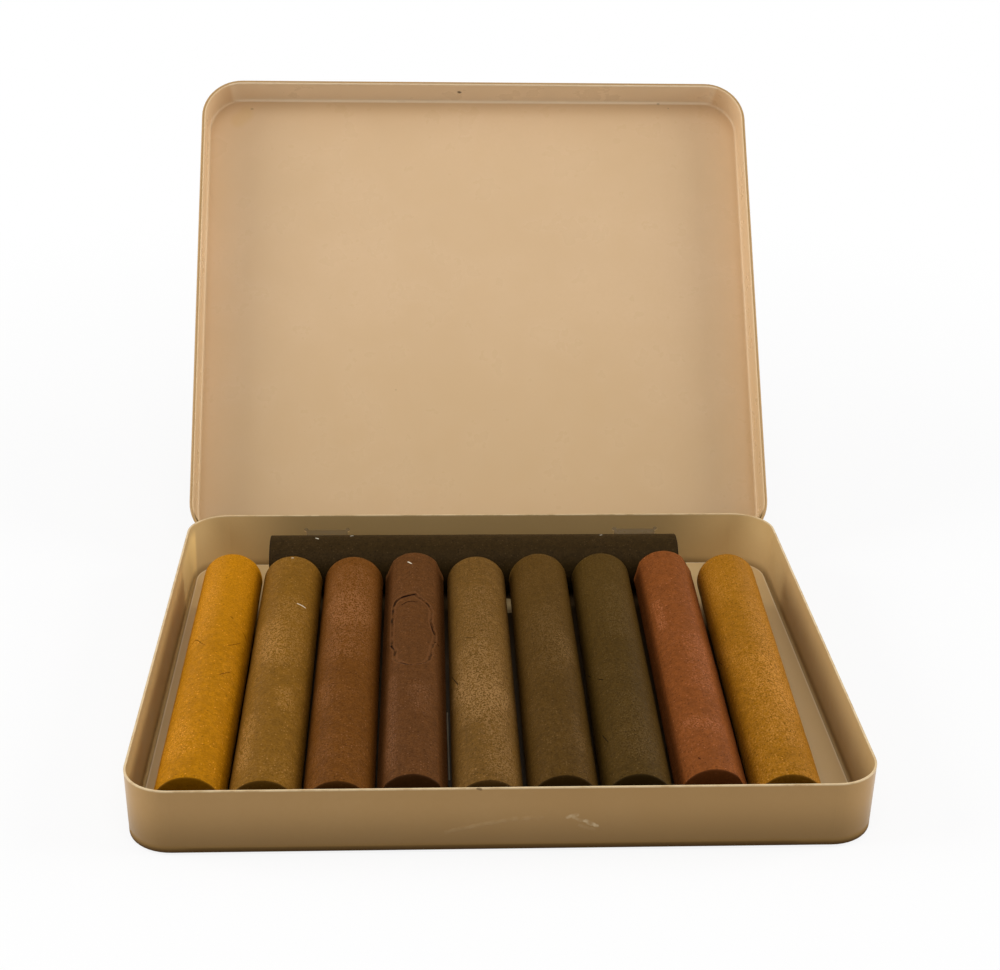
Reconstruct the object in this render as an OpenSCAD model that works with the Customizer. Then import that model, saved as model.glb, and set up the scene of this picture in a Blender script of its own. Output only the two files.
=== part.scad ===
// Flat hinged tin of wax filler sticks, lid open, in millimetres.
// Nine sticks lie side by side and a tenth lies across behind them.
// X points right, Y to the hinge and Z up; the origin is the bottom centre of the whole box.

/* [Wax sticks] */
// Diameter of a stick
stick_d = 14; // [11:0.1:18]
// Length of a stick
stick_l = 99.5; // [80:0.5:125]
// Rounding of the edge round each end
stick_edge = 0.35; // [0.2:0.05:2]
// Widest gap between the front ends of neighbours in the row
stick_gap = 0.65; // [0.5:0.05:1.5]
// Angle by which the last stick of the row lies askew; the others follow it less and less
row_turn = 1.9; // [0:0.1:2.5]
// How far the stick furthest from the front wall is pushed back
row_slip = 2.9; // [0:0.1:3.4]
// Depth of the flats down both sides of the fourth and the eighth stick
flat_depth = 0.4; // [0.1:0.05:1]
// Angle from upright to the middle of each flat
flat_turn = 67; // [45:1:90]

/* [Room in the tray] */
// Free width left of the row's front end
left_room = 4.7; // [3:0.1:12]
// Free width right of the row's front end
right_room = 10.1; // [6:0.1:20]
// Gap between the row and the front wall
front_room = 0.4; // [0.3:0.1:4]
// Gap between the row and the stick that lies across
cross_room = 3.95; // [3.7:0.05:12]
// Free depth behind the stick that lies across
rear_room = 8.25; // [2:0.05:15]
// Sideways place of the stick that lies across
cross_shift = -2.35; // [-8:0.05:8]
// Gap between a stick and what it lies on
rest_gap = 0.05; // [0.02:0.01:0.2]

/* [Sheet metal] */
// Thickness of the painted sheet
sheet = 0.4; // [0.3:0.05:0.6]
// Plan radius of the tray's corners at the rim
corner_r = 9.4; // [7:0.1:16]

/* [Tray] */
// Height of the tray's rim
tray_h = 14.2; // [12:0.1:20]
// Outward lean of the walls
wall_lean = 1.4; // [0.5:0.1:4]
// Outer radius between wall and bottom
foot_r = 0.9; // [0.7:0.1:3]
// Width of the flat ring that the tin stands on
foot_w = 0.45; // [0.4:0.05:2]
// Rise of the floor panel above that ring
floor_rise = 0.8; // [0.3:0.1:1.2]
// Lean of the step from the ring to the floor panel
step_run = 0.3; // [0.2:0.05:1]

/* [Lid] */
// Least gap between the lid's skirt and the tray's rim as the lid swings
lid_gap = 0.1; // [0.05:0.05:0.5]
// Gap between the sticks and the closed lid
headroom = 0.55; // [0.3:0.05:2]
// Outer radius between the lid's skirt and its panel
lid_edge = 1.1; // [1:0.1:3]
// Radius of the rolled bead along the lid's edge
bead_r = 0.5; // [0.45:0.05:0.8]
// Angle from closed to resting on the stop
open_angle = 129.2; // [110:0.1:140]

/* [Hinge] */
// Distance of each hinge from the middle
hinge_x = 39; // [25:0.5:50]
// Width of each tongue
tongue_w = 10.4; // [6:0.1:16]
// Depth of the hinge axis below the tray's rim
hinge_drop = 7.4; // [6.5:0.1:8]
// Play of the bead in its loop
loop_play = 0.06; // [0.03:0.01:0.1]
// Angle of the curl over the bead
curl_turn = 120; // [90:1:150]
// Gap left at the open stop
stop_gap = 0.04; // [0.02:0.01:0.1]
// Gap beside each tongue in the lid's slots
slot_gap = 0.3; // [0.15:0.05:1]
// Radius of the pierced holes at the ends of each tongue's cut
pierce_r = 0.55; // [0.3:0.05:0.8]

/* [Hidden] */
ROW = ["stick_ochre", "stick_olive", "stick_red_brown", "stick_maroon", "stick_tan",
       "stick_dark_olive", "stick_umber", "stick_brick", "stick_amber"];
ROW_COLOURS = ["#aa7010", "#7d551b", "#6c3f18", "#5c381d", "#6f4d22",
               "#533a19", "#483614", "#81451d", "#9a6515"];
// Shares of the widest gap, of the last stick's angle and of the furthest slip
ROW_GAPS = [0.6, 0.3, 0.25, 0.85, 1, 0.5, 1, 0.7];
ROW_TURNS = [0, 0, 0.1, 0.2, 0.25, 0.35, 0.6, 0.8, 1];
ROW_SLIPS = [0.72, 0.23, 0.06, 0.83, 0, 0.49, 0.52, 1, 0.28];
FLATTED = [3, 7];
FLATTED_ROLLS = [0, -9];
$fn = 72;

TRAY_PAINT = "#c7a773";
LID_PAINT = "#d4b287";

// Worked-out lengths are kept to a thousandth, so that faces that meet do so exactly.
function fine(x) = round(1000 * x) / 1000;

// Sum of the first n entries of a list
function sum_of(list, n) = n == 0 ? 0 : list[n - 1] + sum_of(list, n - 1);

// Place of a stick's front end, from the left side of the row
function front_x(i) = fine(stick_r + i * stick_d + stick_gap * sum_of(ROW_GAPS, i));

stick_r = stick_d / 2;
row_w = front_x(len(ROW) - 1) + stick_r;

// The tray is sized round its contents at the floor and widens to the rim.
lean_run = fine((tray_h - foot_r) * tan(wall_lean));
half_w = fine((left_room + row_w + right_room) / 2 + lean_run + sheet);
half_d = fine((front_room + stick_l + cross_room + stick_d + rear_room) / 2 + lean_run + sheet);
corner_x = half_w - corner_r;
corner_y = half_d - corner_r;
foot_end = corner_r - lean_run - foot_r;
foot_start = foot_end - foot_w;
mitre = fine(sheet * tan(atan2(floor_rise, step_run) / 2));
floor_z = floor_rise + sheet;

// Places of the sticks
stick_z = floor_z + rest_gap + stick_r;
inner_left = -half_w + lean_run + sheet;
inner_front = -half_d + lean_run + sheet;
inner_back = -inner_front;
row_x = inner_left + left_room;
row_y = inner_front + front_room;
cross_y = inner_back - rear_room - stick_r;

// The round corner of the tray keeps the first stick back from the front wall.
corner_in = corner_r - lean_run - sheet;
edge_aside = max(0, corner_in - stick_edge - left_room);
edge_reach = sqrt(pow(corner_in - stick_edge - front_room, 2) - pow(edge_aside, 2));
corner_slip = fine(corner_in - stick_edge - edge_reach - front_room);

// The closed lid clears the sticks, and its front edge clears the rim while it swings.
// The bead is rolled outward, round the skirt's outer face, and bulges a little inside.
bead_bulge = max(0, bead_r - sheet);
skirt_gap = fine(lid_gap + bead_bulge + hinge_drop * hinge_drop / (4 * half_d));
skirt_u = corner_r + skirt_gap;
panel_z = stick_z + stick_r + headroom;
lid_top = panel_z + sheet;

// The hinge axis is the middle of the bead along the lid's back edge.
axis_y = half_d + skirt_gap + sheet;
axis_z = tray_h - hinge_drop;
loop_in = bead_r + loop_play;
loop_out = loop_in + sheet;

// The slot's edge meets the outer leg of the loop when the lid is fully open.
slot_edge = fine((loop_out + stop_gap) / sin(open_angle));
leg = fine(stop_gap - slot_edge * cos(open_angle));
root_z = axis_z - leg - loop_in;
wall_mid = fine(half_d - (tray_h - root_z) * tan(wall_lean) - sheet / 2);
loop_mid = loop_in + sheet / 2;
tongue_l = fine(axis_y - wall_mid + leg + loop_mid * (90 + curl_turn) * PI / 180);
window_top = root_z + tongue_l;

// Reach of the open lid, from which the middle of the whole box follows
lid_reach = axis_y + half_d + skirt_gap + sheet - lid_edge;
back_y = axis_y - lid_reach * cos(open_angle) + (lid_top - lid_edge - axis_z) * sin(open_angle) + lid_edge;
middle_y = fine((back_y - half_d) / 2);

// Carries a section, drawn outward from the corners' centres, round the tin.
module around_tin() {
    for (q = [0:3]) {
        x = q % 2 == 0 ? corner_x : corner_y;
        y = q % 2 == 0 ? corner_y : corner_x;
        rotate([0, 0, 90 * q]) {
            translate([x, y, 0])
                rotate_extrude(angle = 90)
                    children();
            translate([x, 0, 0])
                rotate([90, 0, 0])
                    linear_extrude(2 * y, center = true)
                        children();
        }
    }
}

// Flat sheet between the corners' centres, lapped into the sections that go round
module middle_sheet(z) {
    lap = corner_r / 4;
    translate([-corner_x - lap, -corner_y - lap, z])
        cube([2 * (corner_x + lap), 2 * (corner_y + lap), sheet]);
}

// Quarter disc that rounds an outline towards the right, below or above its centre
module quarter(r, up) {
    intersection() {
        circle(r);
        translate([0, up ? 0 : -r])
            square(r);
    }
}

// Everything within the tray's face at the given depth in the sheet
module tray_outline(depth) {
    r = foot_r - depth;
    bend = depth > 0 ? mitre : 0;
    polygon([
        [0, floor_rise + depth],
        [foot_start - step_run + bend, floor_rise + depth],
        [foot_start + bend, depth],
        [foot_end, depth],
        [foot_end, foot_r],
        [foot_end + r, foot_r],
        [corner_r - depth, tray_h],
        [corner_r - depth, tray_h + depth],
        [0, tray_h + depth]
    ]);
    translate([foot_end, foot_r])
        quarter(r, false);
}

module tray_section() {
    difference() {
        tray_outline(0);
        tray_outline(sheet);
    }
}

// Opening in the back wall that a tongue was pressed out of, with its pierced ends
module window() {
    translate([-tongue_w / 2, wall_mid - sheet, root_z])
        cube([tongue_w, half_d - wall_mid + 2 * sheet, tongue_l]);
    for (side = [-1, 1])
        translate([side * tongue_w / 2, wall_mid - sheet, window_top])
            rotate([-90, 0, 0])
                cylinder(r = pierce_r, h = half_d - wall_mid + 2 * sheet);
}

// Ring of sheet round the bead
module loop_ring() {
    difference() {
        circle(loop_out);
        circle(loop_in);
    }
}

// Side view of a tongue: out under the bead, up behind it and curled over the top
module tongue_section() {
    far = 2 * loop_out;
    translate([wall_mid - axis_y, -leg - loop_out])
        square([axis_y - wall_mid, sheet]);
    translate([0, -leg])
        intersection() {
            loop_ring();
            translate([0, -far])
                square(far);
        }
    translate([loop_in, -leg])
        square([sheet, leg]);
    intersection() {
        loop_ring();
        polygon([[0, 0], [far, 0], [far, far], [-far, far], far * [cos(curl_turn), sin(curl_turn)]]);
    }
}

module at_hinges() {
    for (side = [-1, 1])
        translate([side * hinge_x, 0, 0])
            children();
}

// Drawn tray with a leaning wall, a raised floor panel and two hinge tongues
module tray() {
    color(TRAY_PAINT) {
        difference() {
            union() {
                around_tin()
                    tray_section();
                middle_sheet(floor_rise);
            }
            at_hinges()
                window();
        }
        at_hinges()
            translate([0, axis_y, axis_z])
                rotate([90, 0, 90])
                    linear_extrude(tongue_w, center = true)
                        tongue_section();
    }
}

// Everything within the lid's face at the given depth in the sheet
module lid_outline(depth) {
    side = skirt_u + sheet - depth;
    top = lid_top - depth;
    r = lid_edge - depth;
    polygon([
        [0, axis_z - depth],
        [side, axis_z - depth],
        [side, top - r],
        [side - r, top - r],
        [side - r, top],
        [0, top]
    ]);
    translate([side - r, top - r])
        quarter(r, true);
}

module lid_section() {
    difference() {
        lid_outline(0);
        lid_outline(sheet);
    }
}

module bead_section() {
    translate([skirt_u + sheet, axis_z])
        circle(bead_r);
}

// Slot in the skirt, above the bead, that a loop passes through
module hinge_slot() {
    length = tongue_w + 2 * slot_gap;
    translate([-length / 2, axis_y - 2 * sheet, axis_z - sheet])
        cube([length, 3 * sheet, sheet + slot_edge]);
}

// Lid with a rounded edge, a skirt and a rolled bead, swung open to its stop
module lid() {
    color(LID_PAINT)
        translate([0, axis_y, axis_z])
            rotate([-open_angle, 0, 0])
                translate([0, -axis_y, -axis_z]) {
                    difference() {
                        union() {
                            around_tin()
                                lid_section();
                            middle_sheet(panel_z);
                        }
                        at_hinges()
                            hinge_slot();
                    }
                    around_tin()
                        bead_section();
                }
}

// Cast stick along Y, centred, with softened ends
module wax_stick() {
    rotate([90, 0, 0])
        translate([0, 0, -stick_l / 2])
            rotate_extrude() {
                square([stick_r - stick_edge, stick_l]);
                translate([0, stick_edge])
                    square([stick_r, stick_l - 2 * stick_edge]);
                for (z = [stick_edge, stick_l - stick_edge])
                    translate([stick_r - stick_edge, z])
                        circle(stick_edge);
            }
}

// Stick with a long flat down each side, rolled a little in its place
module flatted_stick(roll) {
    rotate([0, roll, 0])
        difference() {
            wax_stick();
            for (side = [-1, 1])
                rotate([0, side * flat_turn, 0])
                    translate([-stick_r, -stick_l, stick_r - flat_depth])
                        cube([stick_d, 2 * stick_l, stick_r]);
        }
}

// One stick of the row, counted from the left
module row_stick(i) {
    slip = max(ROW_SLIPS[i] * row_slip, i == 0 ? corner_slip : 0);
    flatted = search(i, FLATTED);
    color(ROW_COLOURS[i])
        translate([row_x + front_x(i), row_y + slip, stick_z])
            rotate([0, 0, -ROW_TURNS[i] * row_turn])
                translate([0, stick_l / 2, 0])
                    if (len(flatted) > 0)
                        flatted_stick(FLATTED_ROLLS[flatted[0]]);
                    else
                        wax_stick();
}

// The stick that lies across behind the row
module stick_black() {
    color("#2f210f")
        translate([cross_shift, cross_y, stick_z])
            rotate([0, 0, 90])
                wax_stick();
}

translate([0, -middle_y, 0]) {
    tray();
    lid();
    for (i = [0:len(ROW) - 1])
        row_stick(i);
    stick_black();
}
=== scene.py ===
import math

import bmesh
import bpy
from mathutils import Matrix, Vector


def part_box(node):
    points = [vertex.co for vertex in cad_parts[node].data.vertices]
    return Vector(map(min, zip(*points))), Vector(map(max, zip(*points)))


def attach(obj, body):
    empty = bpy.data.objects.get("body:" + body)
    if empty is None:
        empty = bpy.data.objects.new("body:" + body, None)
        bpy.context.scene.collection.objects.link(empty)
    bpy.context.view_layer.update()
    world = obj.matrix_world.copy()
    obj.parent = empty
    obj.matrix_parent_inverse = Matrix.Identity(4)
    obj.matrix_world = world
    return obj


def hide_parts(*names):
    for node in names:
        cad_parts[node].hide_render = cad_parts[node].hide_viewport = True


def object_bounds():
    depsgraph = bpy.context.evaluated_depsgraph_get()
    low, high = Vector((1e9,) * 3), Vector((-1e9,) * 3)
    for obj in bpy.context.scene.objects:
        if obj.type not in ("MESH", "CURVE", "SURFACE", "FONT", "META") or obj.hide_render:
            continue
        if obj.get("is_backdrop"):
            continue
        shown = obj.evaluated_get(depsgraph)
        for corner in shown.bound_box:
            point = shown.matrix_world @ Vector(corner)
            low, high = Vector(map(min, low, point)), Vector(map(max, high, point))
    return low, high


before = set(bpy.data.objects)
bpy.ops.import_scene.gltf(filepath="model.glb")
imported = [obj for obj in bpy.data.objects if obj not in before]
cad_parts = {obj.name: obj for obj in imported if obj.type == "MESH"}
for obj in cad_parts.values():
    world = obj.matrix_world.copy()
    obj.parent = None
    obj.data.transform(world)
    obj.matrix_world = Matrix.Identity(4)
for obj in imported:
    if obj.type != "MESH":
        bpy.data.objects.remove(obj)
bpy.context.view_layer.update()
scene = bpy.context.scene
scene.view_settings.view_transform = "Standard"


# Camera
# It looks down on the open tin from the front, a little to the left of the tin's middle.
# The image is 1000 by 970, and the lens is a short telephoto.
STAND = (-0.017317, -0.402299, 0.200859)
LENS, SENSOR = 65.63, 36
yaw, pitch, roll = (math.radians(angle) for angle in (2.970, 22.943, 0.976))
ahead = Vector((math.sin(yaw) * math.cos(pitch), math.cos(yaw) * math.cos(pitch), -math.sin(pitch)))
level = Vector((math.cos(yaw), -math.sin(yaw), 0))
above = level.cross(ahead)
right = math.cos(roll) * level + math.sin(roll) * above
up = math.cos(roll) * above - math.sin(roll) * level
camera_data = bpy.data.cameras.new("camera")
camera_data.sensor_width = SENSOR
camera_data.lens = LENS
camera = bpy.data.objects.new("camera", camera_data)
scene.collection.objects.link(camera)
camera.matrix_world = Matrix.Translation(STAND) @ Matrix((right, up, -ahead)).transposed().to_4x4()
scene.camera = camera


# Table and studio
# A white table top in a white room. The table keeps the tin's shadow near the tin and goes over into plain
# white further out. A soft lamp stands at each side and a weaker one hangs in front.
TABLE_SIZE = 12
TABLE_DROP = 0.0002
SHADOW_FADE = (0.15, 0.4)
TABLE_GLOW = (0.85, 1.0)
ROOM_LIGHT = 0.36
LAMPS = [((-0.9, -0.05, 0.38), 6.6), ((0.9, -0.05, 0.38), 6.2), ((0, -0.55, 0.85), 2.7)]
LAMP_SIZE = 0.7
LAMP_AIM = Vector((0, 0, 0.03))


def add_node(tree, kind, inputs=None, **settings):
    """One shader node. Inputs maps sockets to values, or to sockets that they are linked from."""
    new = tree.nodes.new("ShaderNode" + kind)
    for key, value in settings.items():
        setattr(new, key, value)
    for key, value in (inputs or {}).items():
        if isinstance(value, bpy.types.NodeSocket):
            tree.links.new(value, new.inputs[key])
        else:
            new.inputs[key].default_value = value
    return new


def ramp(tree, value, low, high, start=0.0, end=1.0):
    """Carries a value smoothly from start at low to end at high."""
    return add_node(tree, "MapRange", {"Value": value, "From Min": low, "From Max": high, "To Min": start,
                                       "To Max": end}, interpolation_type="SMOOTHSTEP").outputs[0]


def vector(tree, operation, first, second=None):
    """One step of vector arithmetic: gives a vector, or a number for a length, a distance or a product."""
    inputs = {0: first} if second is None else {0: first, 1: second}
    step = add_node(tree, "VectorMath", inputs, operation=operation)
    return step.outputs["Value" if operation in ("LENGTH", "DISTANCE", "DOT_PRODUCT") else "Vector"]


def seen_plainly(tree):
    """1 for rays from the camera, mirrors and glass, and 0 for light on its way to other things."""
    path = add_node(tree, "LightPath")
    some = add_node(tree, "Math", {0: path.outputs["Is Camera Ray"], 1: path.outputs["Is Glossy Ray"]})
    return add_node(tree, "Math", {0: some.outputs[0], 1: path.outputs["Is Transmission Ray"]},
                    use_clamp=True).outputs[0]


bpy.ops.object.select_all(action="DESELECT")
bpy.ops.mesh.primitive_plane_add(size=TABLE_SIZE, location=(0, 0, -TABLE_DROP))
table = bpy.context.object
table.name = "table"
table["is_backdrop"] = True
table_white = bpy.data.materials.new("table_white")
table_white.use_nodes = True
tree = table_white.node_tree
tree.nodes.clear()
reach = vector(tree, "LENGTH", add_node(tree, "TexCoord").outputs["Object"])
matt = add_node(tree, "BsdfDiffuse", {"Color": (0.9, 0.9, 0.9, 1)})
white = add_node(tree, "Emission", {"Color": (1, 1, 1, 1), "Strength": 1.0})
pale = add_node(tree, "MixShader", {0: ramp(tree, reach, *SHADOW_FADE, *TABLE_GLOW), 1: matt.outputs[0],
                                    2: white.outputs[0]})
grey = add_node(tree, "BsdfDiffuse", {"Color": (0.7, 0.7, 0.7, 1)})
both = add_node(tree, "MixShader", {0: seen_plainly(tree), 1: grey.outputs[0], 2: pale.outputs[0]})
add_node(tree, "OutputMaterial", {"Surface": both.outputs[0]})
table.data.materials.append(table_white)

studio = bpy.data.worlds.new("studio")
studio.use_nodes = True
scene.world = studio
tree = studio.node_tree
glow = add_node(tree, "MapRange", {"Value": seen_plainly(tree), "To Min": ROOM_LIGHT, "To Max": 1.0})
tree.nodes["Background"].inputs["Color"].default_value = (1, 1, 1, 1)
tree.links.new(glow.outputs[0], tree.nodes["Background"].inputs["Strength"])

for place, power in LAMPS:
    bpy.ops.object.light_add(type="AREA", location=place)
    lamp = bpy.context.object
    lamp.data.shape = "DISK"
    lamp.data.size = LAMP_SIZE
    lamp.data.energy = power
    lamp.rotation_euler = (LAMP_AIM - lamp.location).to_track_quat("-Z", "Y").to_euler()


# Tray
# One sheet of tinplate drawn into a shallow box with round corners and a raised floor panel; two tongues of
# its back wall curl into the hinge loops. It is sprayed with a satin beige enamel, browner outside (partly as
# painted shade), worn along the rim and with a long scuff on the front wall. Painted light and shade lie in
# its colour: a paler floor and left inner wall, painted highlights along the rim and the floor panel's edge,
# and painted shade between the sticks, in the groove round the panel, on the rear wall's middle and towards
# the outer foot.
def linear(code):
    """Shader colour of a hex colour."""
    parts = [int(code[i:i + 2], 16) / 255 for i in (1, 3, 5)]
    return (*(((c + 0.055) / 1.055) ** 2.4 if c > 0.04045 else c / 12.92 for c in parts), 1)


def noise(tree, place, scale, detail=3, rough=0.55):
    return add_node(tree, "TexNoise", {"Vector": place, "Scale": scale, "Detail": detail,
                                       "Roughness": rough}).outputs[0]


def times(tree, first, second):
    return add_node(tree, "Math", {0: first, 1: second}, operation="MULTIPLY").outputs[0]


def larger(tree, first, second):
    return add_node(tree, "Math", {0: first, 1: second}, operation="MAXIMUM").outputs[0]


def plus(tree, first, second):
    return add_node(tree, "Math", {0: first, 1: second}).outputs[0]


def tint(tree, share, first, second):
    """First colour, going over to the second where share is 1."""
    return add_node(tree, "Mix", {0: share, 6: first, 7: second}, data_type="RGBA").outputs[2]


def coat(tree, share, paint, code):
    """The paint, going over to a hex colour where share is 1."""
    return tint(tree, share, paint, linear(code))


def stroke(tree, place, points, width, core=0.3):
    """1 along a thin line through the points, out to core times its width, fading to 0 at its width."""
    total = None
    for start, end in zip(points, points[1:]):
        run = Vector(end) - Vector(start)
        off = vector(tree, "SUBTRACT", place, start)
        share = vector(tree, "DOT_PRODUCT", off, run / run.length_squared)
        share = add_node(tree, "Clamp", {"Value": share}).outputs[0]
        foot = add_node(tree, "VectorMath", {0: run, "Scale": share}, operation="SCALE").outputs[0]
        line = ramp(tree, vector(tree, "DISTANCE", off, foot), width, core * width)
        total = line if total is None else larger(tree, total, line)
    return total


def shaken(tree, place, scale, shift=0.0008):
    """The place moved about by a noise, so that lines laid over it come out ragged."""
    moved = add_node(tree, "TexNoise", {"Vector": place, "Scale": scale, "Detail": 2.0}).outputs[1]
    moved = vector(tree, "SUBTRACT", moved, (0.5, 0.5, 0.5))
    moved = add_node(tree, "VectorMath", {0: moved, "Scale": shift}, operation="SCALE").outputs[0]
    return vector(tree, "ADD", place, moved)


def dent(tree, height, depth, strength, normal=None):
    inputs = {"Height": height, "Distance": depth, "Strength": strength}
    if normal is not None:
        inputs["Normal"] = normal
    return add_node(tree, "Bump", inputs).outputs[0]


def enamel(name, colour, shade):
    """Satin baked enamel: faintly cloudy colour, orange peel, shallow waves and a few specks of dirt."""
    material = bpy.data.materials.new(name)
    material.use_nodes = True
    tree = material.node_tree
    place = add_node(tree, "TexCoord").outputs["Object"]
    cloud = ramp(tree, noise(tree, place, 26, 4), 0.3, 0.7)
    paint = tint(tree, cloud, linear(colour), linear(shade))
    mist = ramp(tree, noise(tree, place, 900, 2), 0.25, 0.75, 0.0, 0.4)
    paint = coat(tree, mist, paint, shade)
    cells = add_node(tree, "TexVoronoi", {"Vector": place, "Scale": 95.0}).outputs["Distance"]
    some = ramp(tree, noise(tree, place, 60, 1), 0.52, 0.6)
    specks = times(tree, ramp(tree, cells, 0.026, 0.012), some)
    paint = coat(tree, times(tree, specks, 0.4), paint, "#6b5433")
    waves = dent(tree, noise(tree, place, 24, 2), 0.0006, 0.08)
    peel = dent(tree, noise(tree, place, 750, 2), 0.00003, 0.25, waves)
    return material, tree, place, paint, peel


def in_shade(tree, paint, colour, wanted):
    """A coat like the paint, cloudy and specked in the same way, whose main colour is the wanted one."""
    share = [w / c for w, c in zip(linear(wanted)[:3], linear(colour)[:3])]
    return add_node(tree, "Mix", {0: 1.0, 6: paint, 7: (*share, 1)}, data_type="RGBA",
                    blend_type="MULTIPLY").outputs[2]


def corner_distance(tree, place):
    """Distance outward from the round-cornered box through the tin's corner centres."""
    away = vector(tree, "SUBTRACT", vector(tree, "ABSOLUTE", place), CORNER)
    return vector(tree, "LENGTH", vector(tree, "MAXIMUM", away, (0, 0, 0)))


def finish_enamel(tree, paint, gloss, normal):
    shader = tree.nodes["Principled BSDF"]
    tree.links.new(paint, shader.inputs["Base Color"])
    tree.links.new(gloss, shader.inputs["Roughness"])
    tree.links.new(normal, shader.inputs["Normal"])
    shader.inputs["Specular IOR Level"].default_value = 0.22


# The tray's middle in the shared frame; marks on the tin are given from it, in millimetres.
MIDDLE = Vector((0, -0.044649, 0))


def on_tin(*points):
    return [MIDDLE + 0.001 * Vector(point) for point in points]


# The last colour is the outside coat's: a browner enamel, darkened partly as painted shade on the outer
# walls.
TRAY_PAINT, TRAY_CLOUD, OUTER_PAINT_AND_SHADE = "#caaa76", "#c4a36e", "#ac8856"
SCUFF = on_tin((-11.23, -63.55, 4.43), (-2.87, -63.6, 6.37), (1.5, -63.62, 7.21), (7.02, -63.63, 7.59))
SCRAPES = [(0.26, on_tin((11.98, -63.63, 7.52), (13.69, -63.64, 7.95))),
           (0.2, on_tin((12.6, -63.63, 7.9), (13.9, -63.62, 6.9), (15.26, -63.61, 6.56))),
           (0.5, on_tin((15.26, -63.61, 6.56), (17.61, -63.58, 5.38))),
           (0.08, on_tin((14.2, -63.6, 5.6), (17.0, -63.58, 4.6)))]
FLOOR_GLINT = on_tin((5.66, 35.5, 1.2), (5.66, 41, 1.2))
FLOOR_SCRATCH = on_tin((-10.05, -13, 1.2), (-10.1, -40, 1.2))
RIM_NICK = on_tin((-5.3, -63.78, 14.15), (-4.7, -63.78, 13.95))

# Centres of the tin's corners, and places measured outward from them on the tray.
CORNER = Vector((0.063415, 0.054375, 1))
PANEL_EDGE = 0.00765
FLOOR_END = (0.0079, 0.0077)
INNER_FACE = (0.0089, 0.00875)
OUTER_FACE = (0.0088, 0.0089)
WALL_LEAN = -0.0244

# The foot's bend, as its distance outward and its height, and the skin on its outer side.
FOOT_BEND = (0.00817, 0.0009, 0)
BEND_SKIN = (0.00065, 0.00075)
BEND_TOP = (0.0014, 0.0012)

# Heights on the tray, from where a coat starts to where it is full.
FLOOR_TOP = (0.0016, 0.0013)
PANEL_TOP, PANEL_SIDE = (0.00135, 0.00125), (0.0010, 0.00115)
GROOVE_SHADE = (0.003, 0.0008)
# The first two lay painted shade on the outer wall: darker towards the foot, and darker still on its bend.
FOOT_PAINTED_SHADE, BEND_PAINTED_SHADE, BEND_DULL = (0.0115, 0.0), (0.0017, 0.0007), (0.0025, 0.0012)
LEFT_WALL_TOP = (0.0135, 0.0105)
# The rim's height band, pale in patches: partly wear, partly a painted highlight.
RIM_WEAR_AND_HIGHLIGHT = (0.01385, 0.0141)

# Places across the tray and from its front to its back.
ROW_BLUR = 0.002
LEFT_WALL = (-0.0712, -0.0717)
REAR_ASIDE, REAR_BACK = (0.044, 0.047), (0.022, 0.034)
# The last pair place the painted shade on the middle of the rear wall's inner face.
REAR_SHADE_ASIDE, REAR_SHADE_BACK = (0.064, 0.044), (0.0617, 0.0626)

tray_enamel, tree, place, paint, normal = enamel("tray_enamel", TRAY_PAINT, TRAY_CLOUD)
own = vector(tree, "SUBTRACT", place, MIDDLE)
out = corner_distance(tree, own)
sides, depth, height = add_node(tree, "SeparateXYZ", {0: own}).outputs
aside = add_node(tree, "Math", {0: sides}, operation="ABSOLUTE").outputs[0]
outer = ramp(tree, plus(tree, out, times(tree, height, WALL_LEAN)), *OUTER_FACE)
from_bend = add_node(tree, "CombineXYZ", {0: out, 1: height}).outputs[0]
from_bend = vector(tree, "MULTIPLY", vector(tree, "SUBTRACT", from_bend, FOOT_BEND), (1, -1, 0))
from_bend = vector(tree, "LENGTH", vector(tree, "MAXIMUM", from_bend, (0, 0, 0)))
below = times(tree, ramp(tree, from_bend, *BEND_SKIN), ramp(tree, height, *BEND_TOP))
outer = larger(tree, outer, below)

# The floor: paler paint as painted light, painted shade between the sticks except along one line where the
# lit floor shows, and a scratch.
floor_painted_light = times(tree, ramp(tree, out, *FLOOR_END), ramp(tree, height, *FLOOR_TOP))
paint = coat(tree, times(tree, floor_painted_light, 0.8), paint, "#d6b784")
ochre_low, ochre_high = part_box("stick_ochre")
amber_low, amber_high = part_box("stick_amber")
black_low, black_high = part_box("stick_black")
row_back = (black_low.y + black_high.y) / 2 - MIDDLE.y
row_left, row_right = (ochre_low.x + ochre_high.x) / 2, (amber_low.x + amber_high.x) / 2
# Painted shade: the floor under the row is painted nearly black, except at the rear corners and behind the
# cross stick's middle.
row_painted_shade = times(tree, ramp(tree, sides, row_left - ROW_BLUR, row_left + ROW_BLUR),
                  ramp(tree, sides, row_right + ROW_BLUR, row_right - ROW_BLUR))
rear_corner = times(tree, ramp(tree, aside, *REAR_ASIDE), ramp(tree, depth, *REAR_BACK))
row_painted_shade = times(tree, row_painted_shade, ramp(tree, rear_corner, 1.0, 0.0))
row_painted_shade = times(tree, row_painted_shade, ramp(tree, depth, row_back + ROW_BLUR, row_back - ROW_BLUR))
# The painted shade is left out along one line, where the lit floor shows between two sticks.
glint = stroke(tree, place, FLOOR_GLINT, 0.0016)
row_painted_shade = times(tree, row_painted_shade, ramp(tree, glint, 0.6, 0.1, 0.0, 0.93))
row_painted_shade = times(tree, row_painted_shade, ramp(tree, height, *FLOOR_TOP))
paint = coat(tree, row_painted_shade, paint, "#301d0a")
scratch = stroke(tree, place, FLOOR_SCRATCH, 0.00025)
paint = coat(tree, times(tree, scratch, 0.8), paint, "#d8c6a4")

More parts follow.
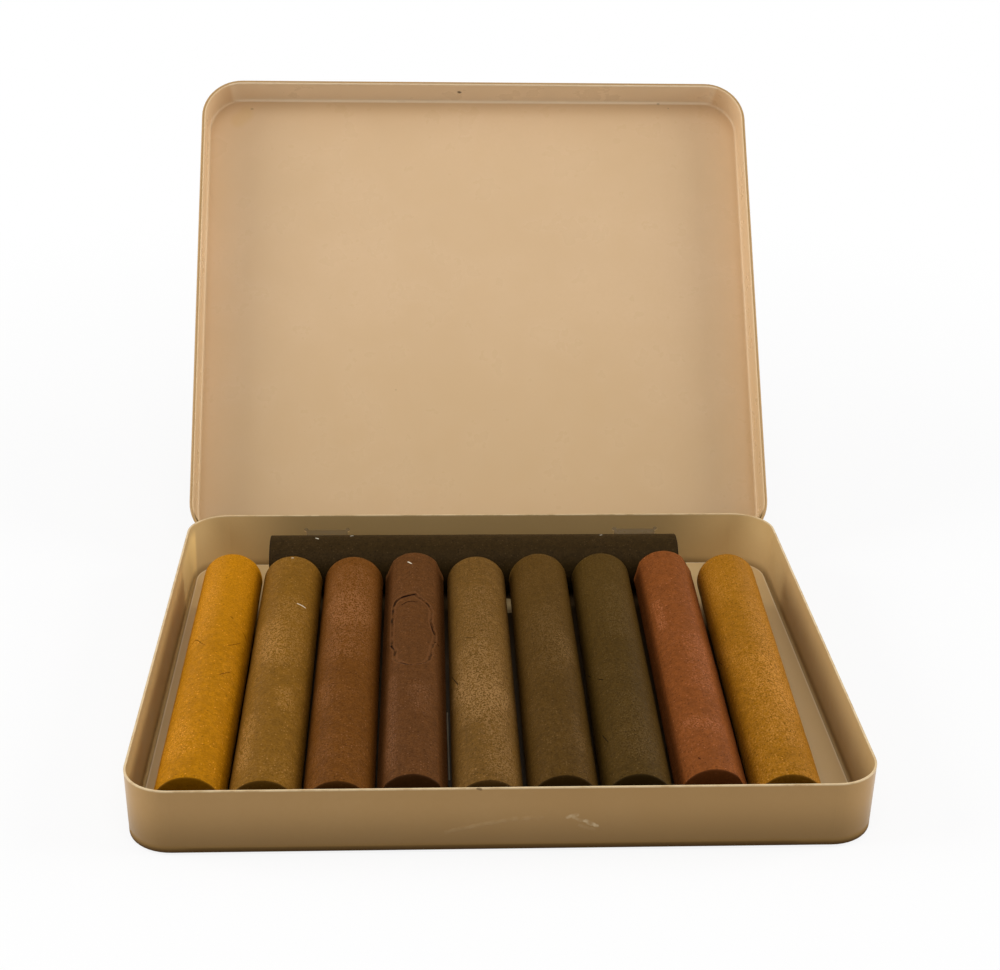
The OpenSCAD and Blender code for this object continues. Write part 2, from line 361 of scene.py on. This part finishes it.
# The walls: the browner outside, partly its own enamel and partly painted shade; painted shade towards the
# foot and on the foot's bend, painted shade on the rear wall's middle by the hinge, and painted light on the
# left inner wall.
# The outside takes the paint made browner and darker, partly as painted shade.
paint = tint(tree, outer, paint, in_shade(tree, paint, TRAY_PAINT, OUTER_PAINT_AND_SHADE))
# Painted shade: the outer wall darkens towards the foot, and more on the foot's bend.
paint = coat(tree, times(tree, outer, ramp(tree, height, *FOOT_PAINTED_SHADE, 0.0, 0.85)), paint, "#785b30")
paint = coat(tree, times(tree, outer, ramp(tree, height, *BEND_PAINTED_SHADE, 0.0, 0.85)), paint, "#463012")
# Painted shade: a darker patch on the middle of the rear wall's inner face, by the hinge.
rear_wall_painted_shade = times(tree, ramp(tree, aside, *REAR_SHADE_ASIDE), ramp(tree, depth, *REAR_SHADE_BACK))
rear_wall_painted_shade = times(tree, rear_wall_painted_shade, ramp(tree, outer, 1.0, 0.0, 0.0, 0.5))
paint = coat(tree, rear_wall_painted_shade, paint, "#6f5a35")
# Painted light: the left wall's inner face is painted paler.
left_wall_painted_light = times(tree, ramp(tree, sides, *LEFT_WALL), ramp(tree, height, *LEFT_WALL_TOP))
left_wall_painted_light = times(tree, left_wall_painted_light, ramp(tree, outer, 1.0, 0.0, 0.0, 0.7))
paint = coat(tree, left_wall_painted_light, paint, "#f6d087")

# Marks: a painted highlight on the floor panel's edge and painted shade in the groove beside it; the rim,
# worn and with a painted highlight, pale in patches; the scuff, its scrapes and the nick.
on_floor = times(tree, ramp(tree, height, *PANEL_TOP), ramp(tree, height, *PANEL_SIDE))
# Painted highlight: a pale line along the floor panel's edge.
panel_edge_painted_highlight = times(tree, ramp(tree, out, PANEL_EDGE - 0.00035, PANEL_EDGE - 0.0001), on_floor)
panel_edge_painted_highlight = times(tree, panel_edge_painted_highlight, ramp(tree, out, PANEL_EDGE + 0.0004, PANEL_EDGE + 0.0002))
# Painted shade in the groove between the floor panel and the wall.
groove_painted_shade = ramp(tree, out, PANEL_EDGE + 0.0001, PANEL_EDGE + 0.0003)
groove_painted_shade = times(tree, groove_painted_shade, ramp(tree, height, *GROOVE_SHADE))
groove_painted_shade = times(tree, groove_painted_shade, times(tree, ramp(tree, out, *INNER_FACE), 0.5))
paint = coat(tree, groove_painted_shade, paint, "#8a6a3c")
paint = coat(tree, times(tree, panel_edge_painted_highlight, 0.6), paint, "#ecd9b4")
# The rim: pale in patches, partly worn paint and partly a painted highlight along the rim.
patches = ramp(tree, noise(tree, place, 300, 3), 0.3, 0.6, 0.3, 0.8)
paint = coat(tree, times(tree, ramp(tree, height, *RIM_WEAR_AND_HIGHLIGHT), patches), paint, "#e0c89e")
ragged = shaken(tree, place, 900.0)
crease = stroke(tree, ragged, SCUFF, 0.0006)
patchy = ramp(tree, noise(tree, place, 420, 2), 0.35, 0.65, 0.1, 1.0)
paint = coat(tree, times(tree, crease, times(tree, patchy, 0.1)), paint, "#d9c297")
for share, scrape in SCRAPES:
    scratch = times(tree, stroke(tree, ragged, scrape, 0.0005), times(tree, patchy, share))
    paint = coat(tree, scratch, paint, "#e6d3ad")
paint = coat(tree, times(tree, stroke(tree, place, RIM_NICK, 0.0004), 0.7), paint, "#5c4424")
normal = dent(tree, crease, 0.0003, 0.15, normal)
gloss = ramp(tree, noise(tree, place, 120, 4), 0.3, 0.7, 0.28, 0.4)
dull = times(tree, outer, ramp(tree, height, *BEND_DULL, 0.0, 0.7))
gloss = add_node(tree, "Math", {0: gloss, 1: dull}, use_clamp=True).outputs[0]
finish_enamel(tree, paint, gloss, normal)
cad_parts["tray"].data.materials.clear()
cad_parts["tray"].data.materials.append(tray_enamel)


# Lid
# The second drawn sheet: a flat panel with a round edge, a skirt and a bead rolled along the skirt's edge,
# which turns in the tray's loops. It has the same enamel, paler inside, with one chip in the front skirt.
# Painted light makes the skirt's inner faces and the front skirt paler, and painted shade darkens the inner
# panel towards the hinge, most in the corner by the hinge.
LID_PAINT, LID_CLOUD = "#d3b289", "#cfae84"
CHIP = on_tin((-4.24, 148.89, 104.23), (-4.02, 149.07, 104.0))
FLECKS = [on_tin((-61.7, 151.17, 98.7), (-61.4, 151.17, 98.7)),
          on_tin((-21.4, 152.97, 100.9), (-19.2, 152.97, 100.9)),
          on_tin((51.6, 152.67, 100.5), (51.9, 152.67, 100.5))]
STAIN = on_tin((-65.3, 148.97, 96.0), (-63.2, 150.17, 97.6))

# The hinge line, and the open lid's directions along its panel and square to it.
HINGE = on_tin((0, 64.59, 6.8))[0]
UP_PANEL = Vector((0, 0.632, 0.775))
OFF_PANEL = Vector((0, -0.775, 0.632))
HINGE_TO_MIDDLE = 0.06459

# Places on the lid: outward from the corner centres, along the panel and behind it.
SKIRT_FACE_PAINTED_LIGHT, SKIRT_BACK, PANEL_BACK = (0.0092, 0.0096), (0.00997, 0.01005), (-0.00917, -0.00923)
FRONT_SKIRT_PAINTED_LIGHT = (0.0634, 0.0638)
LOWER_PAINTED_SHADE, HINGE_PAINTED_SHADE = (0.09, 0.01), (0.0085, 0.0055)
EDGE_OUT, EDGE_BACK = (0.0094, 0.0099), (-0.0087, -0.0091)

lid_enamel, tree, place, plain, normal = enamel("lid_enamel", LID_PAINT, LID_CLOUD)
own = vector(tree, "SUBTRACT", place, HINGE)
rise = vector(tree, "DOT_PRODUCT", own, UP_PANEL)
off = vector(tree, "DOT_PRODUCT", own, OFF_PANEL)
across = add_node(tree, "SeparateXYZ", {0: own}).outputs[0]
middle = plus(tree, rise, -HINGE_TO_MIDDLE)
out = corner_distance(tree, add_node(tree, "CombineXYZ", {0: across, 1: middle}).outputs[0])
outer = larger(tree, ramp(tree, out, *SKIRT_BACK), ramp(tree, off, *PANEL_BACK))
inner = ramp(tree, outer, 1.0, 0.0)
# Painted light: the skirt's inner faces are painted paler.
paint = coat(tree, times(tree, ramp(tree, out, *SKIRT_FACE_PAINTED_LIGHT), 0.35), plain, "#ecd0a8")
# Painted light: the front skirt, which faces down on the open lid, is painted paler still.
paint = coat(tree, ramp(tree, middle, *FRONT_SKIRT_PAINTED_LIGHT, 0.0, 0.6), paint, "#f2dfc0")
# Painted shade: the inner panel darkens towards the hinge.
paint = coat(tree, times(tree, inner, ramp(tree, rise, *LOWER_PAINTED_SHADE, 0.0, 0.3)), paint, "#b8965f")
# Painted shade: the panel goes nearly brown-black in the corner by the hinge.
paint = coat(tree, times(tree, inner, ramp(tree, rise, *HINGE_PAINTED_SHADE, 0.0, 0.97)), paint, "#5c4406")
# The lid's outside takes the tray's darker outer coat.
paint = tint(tree, outer, paint, in_shade(tree, plain, LID_PAINT, OUTER_PAINT_AND_SHADE))
rubbed = times(tree, ramp(tree, out, *EDGE_OUT), ramp(tree, off, *EDGE_BACK))
rubbed = times(tree, rubbed, ramp(tree, noise(tree, place, 260, 3), 0.4, 0.65, 0.1, 0.6))
paint = coat(tree, times(tree, outer, rubbed), paint, "#d8bd90")
paint = coat(tree, times(tree, stroke(tree, place, STAIN, 0.003), 0.25), paint, "#c9a05a")
for fleck in FLECKS:
    paint = coat(tree, times(tree, stroke(tree, place, fleck, 0.0004), 0.45), paint, "#7a5c33")
paint = coat(tree, times(tree, stroke(tree, place, CHIP, 0.0007), 0.9), paint, "#4a341c")
gloss = ramp(tree, noise(tree, place, 120, 4), 0.3, 0.7, 0.26, 0.36)
finish_enamel(tree, paint, gloss, normal)
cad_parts["lid"].data.materials.clear()
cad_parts["lid"].data.materials.append(lid_enamel)


# Wax sticks in the row
# Nine sticks of hard pigmented wax, cast in round moulds and cut to length with a blade, so that the sides
# are a little lumpy and the ends crisp. They lie loose on the tray's floor, side by side and a little askew.
STICK_R = 0.007
STICK_L = 0.0995
END_EDGE = 0.00035
SIDES, RINGS = 120, 150
END_RINGS, END_RING = 3, 0.0016
SMOOTH_UP_TO = math.radians(32)


def pick(kind, wanted):
    """Selects the vertices, edges or faces of the piece in edit mode that are wanted."""
    bpy.ops.mesh.select_all(action="DESELECT")
    mesh = bmesh.from_edit_mesh(bpy.context.object.data)
    for part in getattr(mesh, kind):
        if wanted(part):
            part.select_set(True)
    mesh.select_flush_mode()
    bmesh.update_edit_mesh(bpy.context.object.data)


def length_along(edge):
    return abs(edge.verts[0].co.y - edge.verts[1].co.y)


def is_end(face):
    return abs(face.normal.y) > 0.99 and len(face.verts) > 20


bpy.ops.object.select_all(action="DESELECT")
bpy.ops.mesh.primitive_cylinder_add(vertices=SIDES, radius=STICK_R, depth=STICK_L,
                                    rotation=(math.pi / 2, 0, 0))
bpy.ops.object.transform_apply(location=True, rotation=True, scale=True)
plain_stick = bpy.context.object
plain_stick.name = "plain_stick"
bpy.ops.object.mode_set(mode="EDIT")
bpy.ops.mesh.select_mode(type="EDGE")
pick("edges", lambda edge: length_along(edge) < 1e-6)
bpy.ops.mesh.bevel(offset=END_EDGE, segments=3, affect="EDGES")
pick("edges", lambda edge: length_along(edge) > 0.5 * STICK_L)
bpy.ops.mesh.subdivide(number_cuts=RINGS)
bpy.ops.mesh.select_mode(type="FACE")
for ring in range(END_RINGS):
    pick("faces", is_end)
    bpy.ops.mesh.inset(thickness=END_RING)
bpy.ops.object.mode_set(mode="OBJECT")

lumps = bpy.data.textures.new("lumps", "CLOUDS")
lumps.noise_scale = 0.006
lumps.noise_depth = 2
pores = bpy.data.textures.new("pores", "CLOUDS")
pores.noise_scale = 0.0011
pores.noise_depth = 1


def stand_alone(piece):
    """Selects one piece alone and makes it active."""
    bpy.ops.object.select_all(action="DESELECT")
    piece.select_set(True)
    bpy.context.view_layer.objects.active = piece


def new_stick(name):
    stick = plain_stick.copy()
    stick.data = plain_stick.data.copy()
    stick.name = "wax_stick_" + name
    scene.collection.objects.link(stick)
    return stick


def apply_modifiers(piece):
    stand_alone(piece)
    for modifier in list(piece.modifiers):
        bpy.ops.object.modifier_apply(modifier=modifier.name)


def wear_in(piece, lump, pore):
    """Sinks the skin unevenly, always inward, so that a stick never grows."""
    for texture, depth in ((lumps, lump), (pores, pore)):
        sink = piece.modifiers.new(texture.name, "DISPLACE")
        sink.texture = texture
        sink.texture_coords = "LOCAL"
        sink.mid_level = 1
        sink.strength = depth
    apply_modifiers(piece)


def on_skin(phi, along, radius=STICK_R):
    """Place on a stick in its own frame: degrees from upright to its right, millimetres from its middle."""
    turn = math.radians(phi)
    return Vector((radius * math.sin(turn), 0.001 * along, radius * math.cos(turn)))


def cut_cracks(piece, place, cracks, crack_shade):
    """Cuts each crack as a round groove about a line at its depth; its walls take a darker wax, as painted
    shade.
    """
    tools = []
    for width, depth, points in cracks:
        line = bpy.data.curves.new("crack", "CURVE")
        line.dimensions = "3D"
        line.bevel_depth = 0.5 * width
        line.bevel_resolution = 1
        line.use_fill_caps = True
        spline = line.splines.new("NURBS")
        spline.points.add(len(points) - 1)
        spline.order_u = 3
        spline.use_endpoint_u = True
        spline.resolution_u = 4
        for i, (phi, along) in enumerate(points):
            spline.points[i].co = (*on_skin(phi, along, STICK_R - depth), 1)
            spline.points[i].radius = 0.45 if i in (0, len(points) - 1) else 1
        tool = bpy.data.objects.new("crack", line)
        scene.collection.objects.link(tool)
        tools.append(tool)
    bpy.ops.object.select_all(action="DESELECT")
    for tool in tools:
        tool.select_set(True)
    bpy.context.view_layer.objects.active = tools[0]
    bpy.ops.object.convert(target="MESH")
    if len(tools) > 1:
        bpy.ops.object.join()
    tool = bpy.context.object
    tool.data.transform(place)
    tool.data.materials.clear()
    tool.data.materials.append(crack_shade)
    cut = piece.modifiers.new("cracks", "BOOLEAN")
    cut.operation = "DIFFERENCE"
    cut.object = tool
    cut.solver = "EXACT"
    cut.use_self = True
    cut.material_mode = "TRANSFER"
    apply_modifiers(piece)
    bpy.data.objects.remove(tool)


def shaded(code, factor, lift=0.0):
    """A colour made darker or lighter, with some white mixed in."""
    return (*(min(factor * c + lift, 1) for c in linear(code)[:3]), 1)


def dots(tree, place, scale, amount):
    """Small round spots; amount is the share of them that shows."""
    cells = add_node(tree, "TexVoronoi", {"Vector": place, "Scale": scale})
    chance = add_node(tree, "SeparateColor", {0: cells.outputs["Color"]}).outputs[0]
    shown = add_node(tree, "Math", {0: chance, 1: amount}, operation="LESS_THAN").outputs[0]
    return times(tree, ramp(tree, cells.outputs["Distance"], 0.42, 0.2), shown)


def wax(name, colour, place, grain=0.3, pits=0.2, streaks=0.3, patches=(), lint=(), rear_painted_light=0.0, ring=None):
    """Pigmented wax: grains and pits in the skin, streaks drawn along the stick and a bloom in patches."""
    material = bpy.data.materials.new(name)
    material.use_nodes = True
    tree = material.node_tree
    spot = add_node(tree, "TexCoord").outputs["Object"]
    own = add_node(tree, "Mapping", {"Vector": spot, "Location": place.to_translation(),
                                     "Rotation": place.to_euler()}, vector_type="TEXTURE").outputs[0]
    fine = noise(tree, spot, 2600, 2, 0.65)
    coarse = noise(tree, spot, 700, 3, 0.6)
    drawn = add_node(tree, "Mapping", {"Vector": own, "Scale": (1.0, 0.045, 1.0)}).outputs[0]
    lines = noise(tree, drawn, 1100, 2, 0.6)
    along = add_node(tree, "SeparateXYZ", {0: own}).outputs[1]
    body = tint(tree, ramp(tree, coarse, 0.35, 0.65), shaded(colour, 1.12), shaded(colour, 0.86))
    # Painted light: a stick grows paler from its middle towards its rear end.
    body = tint(tree, ramp(tree, along, 0.0, 0.045, 0.0, rear_painted_light), body, shaded(colour, 1.4))
    body = tint(tree, ramp(tree, fine, 0.42, 0.6, 0.0, 0.45), body, shaded(colour, 0.6))
    body = tint(tree, ramp(tree, lines, 0.5, 0.75, 0.0, streaks), body, shaded(colour, 0.55))
    cover = ramp(tree, noise(tree, spot, 60, 3), 0.4, 0.7, 0.3 * grain, grain)
    for strength, width, *line in patches:
        blob = stroke(tree, own, [on_skin(*point) for point in line], 0.001 * width)
        blob = times(tree, blob, ramp(tree, coarse, 0.3, 0.6, 0.4 * strength, strength))
        cover = plus(tree, cover, blob)
    longer = add_node(tree, "Mapping", {"Vector": own, "Scale": (1.0, 0.6, 1.0)}).outputs[0]
    flakes = noise(tree, longer, 3000, 1, 0.5)
    haze = times(tree, cover, ramp(tree, flakes, 0.46, 0.56))
    pale = min(0.18 * linear(colour)[0], 0.03)
    body = tint(tree, haze, body, shaded(colour, 1.7, pale))
    grains = times(tree, dots(tree, spot, 2000.0, cover), 0.6)
    body = tint(tree, grains, body, shaded(colour, 2.0, 1.4 * pale))
    body = tint(tree, times(tree, dots(tree, spot, 1700.0, pits), 0.6), body, shaded(colour, 0.3))
    along = add_node(tree, "Math", {0: along}, operation="ABSOLUTE").outputs[0]
    # Painted shade: the cut ends and the edges round them are painted much darker.
    cut = ramp(tree, along, 0.5 * STICK_L - END_EDGE, 0.5 * STICK_L - 0.0002, 0.0, 0.85)
    body = tint(tree, cut, body, shaded(colour, 0.25))
    if ring is not None:
        # Painted highlight on the ring's lip and painted shade in its furrow.
        sunk, lip_painted_highlight = ring(tree, own)
        body = tint(tree, times(tree, lip_painted_highlight, 0.4), body, shaded(colour, 1.5, 0.01))
        body = tint(tree, times(tree, sunk, 0.95), body, shaded(colour, 0.15))
    for line in lint:
        fleck = stroke(tree, own, [on_skin(*point) for point in line], 0.00025)
        body = coat(tree, times(tree, fleck, 0.85), body, "#e6dcc4")
    rough = ramp(tree, fine, 0.3, 0.7, 0.42, 0.62)
    skin = dent(tree, coarse, 0.00012, 0.4)
    skin = dent(tree, fine, 0.00007, 0.6, skin)
    skin = dent(tree, lines, 0.00006, 0.4 * streaks, skin)
    shader = tree.nodes["Principled BSDF"]
    tree.links.new(body, shader.inputs["Base Color"])
    tree.links.new(rough, shader.inputs["Roughness"])
    tree.links.new(skin, shader.inputs["Normal"])
    shader.inputs["Specular IOR Level"].default_value = 0.03
    return material


def flatten(piece, angle, depth):
    """Presses a long flat into a stick that stands at the origin, square to the given angle from upright."""
    face = Vector((math.sin(math.radians(angle)), 0, math.cos(math.radians(angle))))
    for corner in piece.data.vertices:
        over = corner.co.dot(face) - (STICK_R - depth)
        if over > 0:
            corner.co -= over * face


# Outline of the sunk skin on the maroon stick, by angle and length as on_skin takes them, and how far the
# skin sinks, the furrow round it goes deeper and the lip beside that rises.
SUNK_SKIN = [(-27.5, 26.8), (-13.3, 26.9), (0, 27.3), (12.2, 25.2), (21.6, 24.0), (29.5, 22.8), (35.9, 21.0),
             (34, 18), (32.8, 15.5), (36.6, 13.3), (43, 10.6), (41, 7.2), (35.1, 4.5), (32.6, 3.0),
             (32.5, 0.1), (26.9, -2.7), (19.6, -4.6), (7.5, -5.7), (-4.2, -6.1), (-12.8, -5.6),
             (-23.5, -4.1), (-32.3, -2.4), (-35.7, -0.7), (-35.1, 2.3), (-42, 5.2), (-45, 9), (-44, 15),
             (-43.5, 20), (-42, 24.3), (-36.4, 26.3), (-27.5, 26.8)]
SKIN_SINKS, FURROW_DEPTH, LIP_HEIGHT = 0.00026, 0.00018, 0.00012


def sunk_ring(tree, own):
    """Painted shade in the furrow round the sunk skin, fainter in places, and a painted highlight on its lip.
    """
    outline = [on_skin(*point) for point in SUNK_SKIN]
    near = stroke(tree, shaken(tree, own, 420.0), outline, 0.0011, 0.0)
    broken = ramp(tree, noise(tree, own, 260, 2), 0.38, 0.55, 0.4, 1.0)
    furrow_painted_shade = times(tree, ramp(tree, near, 0.74, 0.92), broken)
    lip = times(tree, ramp(tree, near, 0.15, 0.45), ramp(tree, near, 0.82, 0.65))
    return furrow_painted_shade, lip


def sink_skin(piece):
    """Sinks the outlined skin in a stick's top, with a furrow and a soft lip, where it sagged as it set."""
    stand_alone(piece)
    bpy.ops.object.mode_set(mode="EDIT")
    bpy.ops.mesh.select_mode(type="FACE")
    pick("faces", lambda face: -0.01 < face.calc_center_median().y < 0.031 and face.normal.z > 0.25)
    bpy.ops.mesh.subdivide(number_cuts=2)
    bpy.ops.object.mode_set(mode="OBJECT")
    outline = [Vector((STICK_R * math.radians(phi), 0.001 * along)) for phi, along in SUNK_SKIN]
    sides = list(zip(outline, outline[1:]))
    for corner in piece.data.vertices:
        if corner.co.z < 0.002 or not -0.009 < corner.co.y < 0.03:
            continue
        spot = Vector((STICK_R * math.atan2(corner.co.x, corner.co.z), corner.co.y))
        gap, inside = 1.0, False
        for start, end in sides:
            run = end - start
            share = min(max((spot - start).dot(run) / run.length_squared, 0), 1)
            gap = min(gap, (spot - start - share * run).length)
            if (start.y > spot.y) != (end.y > spot.y):
                if spot.x < start.x + run.x * (spot.y - start.y) / run.y:
                    inside = not inside
        gap = -gap if inside else gap
        fade = 0.5 + 0.5 * math.exp(min(gap / 0.0014, 0))
        sunk = SKIN_SINKS / (1 + math.exp(min(gap / 0.00012, 50))) * fade
        sunk += FURROW_DEPTH * math.exp(-(gap / 0.00022) ** 2)
        lip = LIP_HEIGHT * math.exp(-((gap - 0.0006) / 0.0003) ** 2)
        outward = Vector((corner.co.x, 0, corner.co.z))
        if outward.length > 0.003:
            corner.co += (lip - sunk) * outward.normalized()


# Each stick's turn in the row in degrees, its colour and its skin. A patch of bloom has its strength, its
# width in millimetres and the points of its line; lint is a list of short lines.
# The rear value is painted light: how much paler a stick grows towards its rear end.
ROW = {
    "ochre": dict(rear_painted_light=0.5, turn=0, colour="#ae7207", grain=0.12, pits=0.08, streaks=0.1,
                  patches=[(0.3, 6, (-40, -30), (-20, -38)), (0.25, 5, (-45, 8), (-30, 30))]),
    "olive": dict(turn=0, colour="#7b5417", grain=0.25, pits=0.12, streaks=0.2,
                  patches=[(0.5, 5, (-35, 14), (-20, 3)), (0.5, 3, (20, -15), (22, -20)),
                           (0.6, 2.5, (-42, -24), (-40, -42)), (0.35, 6, (10, 25), (0, 0))],
                  lint=[[(21.3, 25.4), (38.0, 25.2)], [(-0.9, 48.6), (1.5, 48.6)]]),
    "red_brown": dict(rear_painted_light=0.3, turn=0.19, colour="#663c10", grain=0.25, pits=0.15, streaks=0.15,
                      patches=[(0.8, 7, (-10, 26), (5, 20)), (0.5, 8, (-5, 40), (0, 5)),
                               (0.4, 3, (-45, -10), (-40, -18))]),
    "maroon": dict(turn=0.38, ring=sunk_ring, colour="#5b3718", grain=0.15, pits=0.15, streaks=0.35,
                   patches=[(0.55, 2.2, (-42, -10), (-42, -44)), (0.3, 3.5, (10, -16), (15, -24))],
                   lint=[[(-12.7, 44.7), (-5.9, 43.5)]]),
    "tan": dict(turn=0.475, colour="#694a1e", grain=0.25, pits=0.2, streaks=0.35,
                patches=[(0.8, 8, (-25, -12), (10, -16)), (0.7, 8, (-10, 2), (0, -22)),
                         (0.5, 5, (20, -30), (25, -44)), (0.3, 6, (0, 30), (0, 10))]),
    "dark_olive": dict(rear_painted_light=0.45, turn=0.665, colour="#4f3712", grain=0.22, pits=0.12, streaks=0.3,
                       patches=[(0.7, 3.5, (30, 8), (35, 0)), (0.35, 5, (0, 20), (10, -5)),
                                (0.4, 1.6, (30, -26), (34, -38))]),
    "umber": dict(rear_painted_light=0.45, turn=1.14, colour="#473310", grain=0.22, pits=0.12, streaks=0.3,
                  patches=[(0.35, 5, (10, 30), (10, 10)), (0.3, 5, (0, -20), (10, -40))]),
    "brick": dict(turn=1.52, colour="#7f461d", grain=0.15, pits=0.3, streaks=0.2,
                  patches=[(0.45, 1.8, (-38, 24), (-36, 12)), (0.4, 4, (-15, -31), (15, -32)),
                           (0.35, 5, (25, 5), (20, -15))]),
    "amber": dict(rear_painted_light=0.5, turn=1.9, colour="#93600f", grain=0.4, pits=0.25, streaks=0.15,
                  patches=[(0.5, 6, (35, 25), (40, -20)), (0.4, 6, (0, -5), (10, -35))]),
}
LUMP_DEPTH, PORE_DEPTH = 0.00010, 0.00004
FLATS = {"maroon": (-67, 67), "brick": (-76, 58)}
FLAT_DEPTH = 0.0004

# The cracks of each stick: width, depth of the line under the skin, and its points as on_skin takes them.
SHALLOW = 0.00007
# The crack walls take darker wax colours, as painted shade inside the cracks.
CRACK_SHADE_COLOURS = {"ochre": "#8a5608", "maroon": "#2a150a", "tan": "#33210c", "amber": "#4a2c08",
                 "umber": "#1e1608", "brick": "#5a2c10"}
CRACKS = {
    "ochre": [(0.00026, SHALLOW, [(-51.4, 7.4), (-45.2, 8.9), (-36.7, 8.7), (-19.7, 4.3), (3.4, 2.8),
                                  (26.8, 4.5), (41.1, 6.8), (49.5, 8.9)]),
              (0.00026, SHALLOW, [(29.4, 15.6), (48.4, 14.1), (64.3, 13.4), (75.2, 9.8)]),
              (0.00045, SHALLOW, [(20.2, 17.9), (23.2, 17.5), (26.2, 17.2)]),
              (0.0005, SHALLOW, [(20.6, -9.1), (27.5, -7.5), (40.7, -5.9)]),
              (0.00035, SHALLOW, [(24.7, -8.6), (30.8, -9.3)])],
    "maroon": [(0.0006, 0.00025, [(-27.5, 27.0), (-20, 27.0), (-13.3, 26.9), (3.5, 27.5)]),
               (0.0004, 0.0002, [(-23.5, 23.1), (-15.9, 23.8), (-5.8, 24.0), (5.0, 23.5)]),
               (0.0004, 0.0003, [(32.8, 15.5), (36.6, 13.3), (43, 10.9)]),
               (0.0007, 0.00015, [(39.5, 6.9), (49.4, 7.5), (61.0, 8.3)]),
               (0.00045, 0.00032, [(-25, -3.8), (-12.8, -5.6), (-4.2, -6.1), (7.5, -5.7), (19.6, -4.6)]),
               (0.0006, 0.00015, [(-53.5, 7.5), (-43.4, 5.6), (-35.1, 2.3)])],
    "tan": [(0.0004, SHALLOW, [(-68.5, -1.6), (-56.4, -5.7), (-48.6, -8.8)]),
            (0.0003, SHALLOW, [(-27.3, 9.7), (-19.8, 8.3), (-8.7, 8.8)])],
    "amber": [(0.0003, SHALLOW, [(-85, 7.4), (-78.5, 4.4), (-62.2, -1.3)])],
    "umber": [(0.00045, SHALLOW, [(-71.8, -2.6), (-53.2, -7.9), (-36.3, -10.3)]),
              (0.0004, SHALLOW, [(-56.1, -30.1), (-45.5, -34.4)])],
    "brick": [(0.0007, SHALLOW, [(-23.6, -44.3), (-20.9, -45.2)])],
}
for name, look in ROW.items():
    node = "stick_" + name
    low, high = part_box(node)
    turn = Matrix.Rotation(math.radians(-look.pop("turn")), 4, "Z")
    place = Matrix.Translation((low + high) / 2) @ turn
    stick = new_stick(name)
    for angle in FLATS.get(name, ()):
        flatten(stick, angle, FLAT_DEPTH)
    if name == "maroon":
        sink_skin(stick)
    stick.data.transform(place)
    wear_in(stick, LUMP_DEPTH, PORE_DEPTH)
    stick.data.materials.append(wax("wax_" + name, place=place, **look))
    if name in CRACKS:
        crack_shade_wax = wax("wax_" + name + "_crack", CRACK_SHADE_COLOURS[name], place, 0.05, 0.3, 0.2)
        cut_cracks(stick, place, CRACKS[name], crack_shade_wax)
    stand_alone(stick)
    bpy.ops.object.shade_smooth_by_angle(angle=SMOOTH_UP_TO)
    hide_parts(node)
    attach(stick, node)


# Wax stick across the back
# The tenth stick, of nearly black wax, lies loose behind the row and square to it.
# It is the same casting as the others, smoother and with a few specks of lint on it.
BLACK_LINT = [[(-4.6, 38.0), (-1.0, 38.6)], [(9, 30.2), (11, 29.6)], [(8, -31), (10, -31.4)]]
BLACK_LUMPS, BLACK_PORES = 0.00008, 0.00003
low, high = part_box("stick_black")
place = Matrix.Translation((low + high) / 2) @ Matrix.Rotation(math.radians(90), 4, "Z")
black_stick = new_stick("black")
black_stick.data.transform(place)
wear_in(black_stick, BLACK_LUMPS, BLACK_PORES)
black_stick.data.materials.append(wax("wax_black", "#32240f", place, 0.2, 0.12, 0.3, [], BLACK_LINT))
bpy.ops.object.shade_smooth_by_angle(angle=SMOOTH_UP_TO)
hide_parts("stick_black")
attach(black_stick, "stick_black")
bpy.data.objects.remove(plain_stick)


# Sizes
# The box of the dressed object.
low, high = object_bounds()
